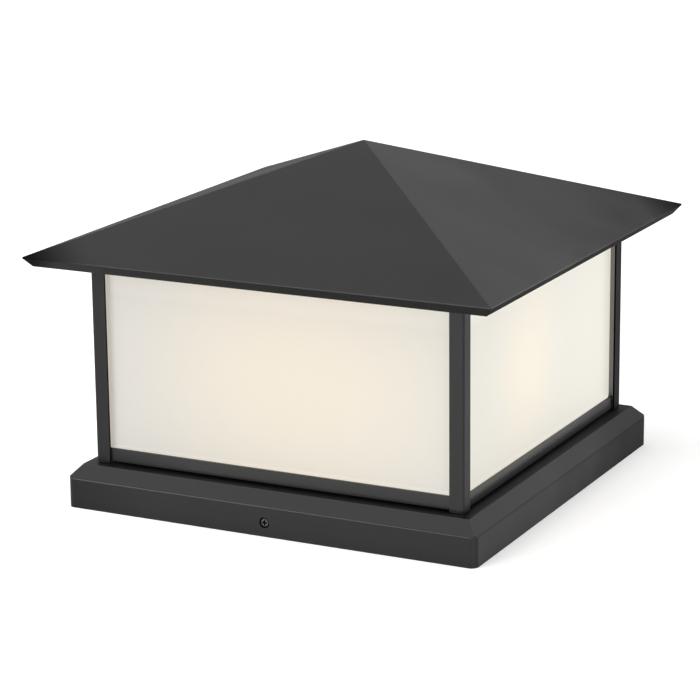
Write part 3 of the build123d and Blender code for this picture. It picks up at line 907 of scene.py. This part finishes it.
def add_side_screw(side, way):
    """A cross-head screw that looks out of the base, with painted shade in its recess."""
    low, high = node_box(f"side_screw_{side}")
    middle = (low + high) / 2
    outer, tip = (low.y, high.y) if way < 0 else (high.y, low.y)
    seat = outer - way * side_head_height
    points, faces = cross_head_screw(side_head_radius, side_head_height, side_shank_radius, abs(seat - tip),
                                     circle)
    shape = ([(x, seat + way * z, middle.z + y) for x, y, z in points], faces)
    screw = add_piece(f"side_screw_{side}_cross", shape, f"screw_{side}", "black_screw", f"side_screw_{side}")

    def in_recess(point):
        depth = (outer - point.y) * way
        near = math.hypot(point.x, point.z - middle.z) < recess_paint_share * side_head_radius
        return near and recess_paint_margin < depth < recess_depth + recess_paint_margin

    # Painted shade: the recess's faces take the near-black finish
    paint(screw, "screw_recess", in_recess)


def add_ground_screw():
    """A hexagon-headed earth screw."""
    low, high = node_box("ground_screw")
    middle = (low + high) / 2
    radius = (high.x - low.x) / 2
    seat = high.z - ground_head_height
    screw = cross_head_screw(radius, ground_head_height, ground_shank_radius, seat - low.z, hexagon)
    add_piece("ground_screw_cross", moved(screw, (middle.x, middle.y, seat)), "mount", "green_screw",
              "ground_screw")


def add_bushing():
    """A rubber sleeve with rounded lips."""
    shape = stood(lathe(bushing_profile, closed=True), *node_box("wire_bushing"))
    add_piece("wire_bushing_rounded", shape, "mount", "bushing_rubber", "wire_bushing")


def add_strip(node, width, corner_radius, ribs):
    """A silicone strip round the glass, with ribs along its top."""
    low, high = node_box(node)
    section = strip_section(width, high.z - low.z, ribs)
    straight = high.x - corner_radius
    points = []
    for corner in range(4):
        diagonal = math.pi / 2 * corner + math.pi / 4
        centre = Vector((math.cos(diagonal), math.sin(diagonal))) * straight * math.sqrt(2)
        for step in range(strip_corner_steps + 1):
            turn = math.pi / 2 * (corner + step / strip_corner_steps)
            for inset, rise in section:
                reach = corner_radius - inset
                points.append((centre.x + reach * math.cos(turn), centre.y + reach * math.sin(turn),
                               low.z + rise))
    shape = (points, ring_faces(len(points) // len(section), len(section), closed=True))
    add_piece(f"{node}_ribbed", shape, "lantern", "silicone", node)


for lamp_side in ("left", "right"):
    add_lamp_cap(lamp_side)
    add_screw_shell(lamp_side)
add_connectors()
add_bracket_screws()
add_side_screw("front", -1)
add_side_screw("back", 1)
add_ground_screw()
add_bushing()
for strip_node, strip in strips.items():
    add_strip(strip_node, **strip)


# Studio

def add_floor():
    """A wide pale floor with a little light of its own, more of it further out."""
    mesh = bpy.data.meshes.new("floor")
    reach = floor_reach
    corners = [(-reach, -reach, 0), (reach, -reach, 0), (reach, reach, 0), (-reach, reach, 0)]
    mesh.from_pydata(corners, [], [(0, 1, 2, 3)])
    floor = bpy.data.objects.new("floor", mesh)
    bpy.context.scene.collection.objects.link(floor)
    made, tree, shader, place = new_material("floor_matte", Roughness=floor_roughness,
                                             Specular_IOR_Level=floor_specular, Emission_Color=opaque(white))
    clouds = noise(tree, place, floor_cloud_per_m, detail=2.0)
    tone = blend(tree, clouds, opaque(floor_colour), opaque(floor_colour, floor_cloud_share))
    away = compute_vector(tree, "LENGTH", place)
    feed(tree, shader, Base_Color=tone, Emission_Strength=spread(tree, away, *floor_light, *floor_light_span))
    mesh.materials.append(made)


def add_sky():
    """Even light from all round, brighter overhead and white along the horizon."""
    world = bpy.data.worlds.new("studio")
    world.use_nodes = True
    bpy.context.scene.world = world
    tree = world.node_tree
    height = height_of(tree, put(tree, "TexCoord").outputs["Generated"])
    dome = spread(tree, height, *sky_light, *sky_light_span)
    horizon = spread(tree, height, sky_horizon_light, 0.0, *sky_horizon_span)
    background = tree.nodes["Background"]
    background.inputs["Color"].default_value = opaque(white)
    feed(tree, background, Strength=compute(tree, "MAXIMUM", dome, horizon))


def add_softbox(name, place, width, height, radiance):
    """A rectangular lamp that faces the lantern."""
    light = bpy.data.lights.new(name, "AREA")
    light.shape = "RECTANGLE"
    light.size = width
    light.size_y = height
    light.energy = math.pi * width * height * radiance
    box = bpy.data.objects.new(name, light)
    box.location = place
    box.rotation_euler = (Vector(softbox_aim) - Vector(place)).to_track_quat("-Z", "Y").to_euler()
    box.visible_camera = False
    bpy.context.scene.collection.objects.link(box)


def add_camera():
    """The photograph's view, with no shift."""
    az, el, roll = camera_azimuth, camera_elevation, camera_roll
    back = Vector((math.sin(az) * math.cos(el), -math.cos(az) * math.cos(el), math.sin(el)))
    right = Vector((math.cos(az), math.sin(az), 0))
    up = back.cross(right)
    aim = Vector((0, 0, camera_aim_height)) + right * camera_aim_right
    turned_right = right * math.cos(roll) - up * math.sin(roll)
    turned_up = right * math.sin(roll) + up * math.cos(roll)
    data = bpy.data.cameras.new("camera")
    data.sensor_width = sensor_width_mm
    data.lens = lens_mm
    data.clip_end = camera_clip_end
    camera = bpy.data.objects.new("camera", data)
    bpy.context.scene.collection.objects.link(camera)
    turn = Matrix((turned_right, turned_up, back)).transposed().to_4x4()
    camera.matrix_world = Matrix.Translation(aim + back * camera_distance) @ turn
    bpy.context.scene.camera = camera


add_floor()
add_sky()
for softbox_name, softbox in softboxes.items():
    add_softbox(softbox_name, **softbox)
add_camera()
bpy.context.scene.view_settings.view_transform = "Standard"
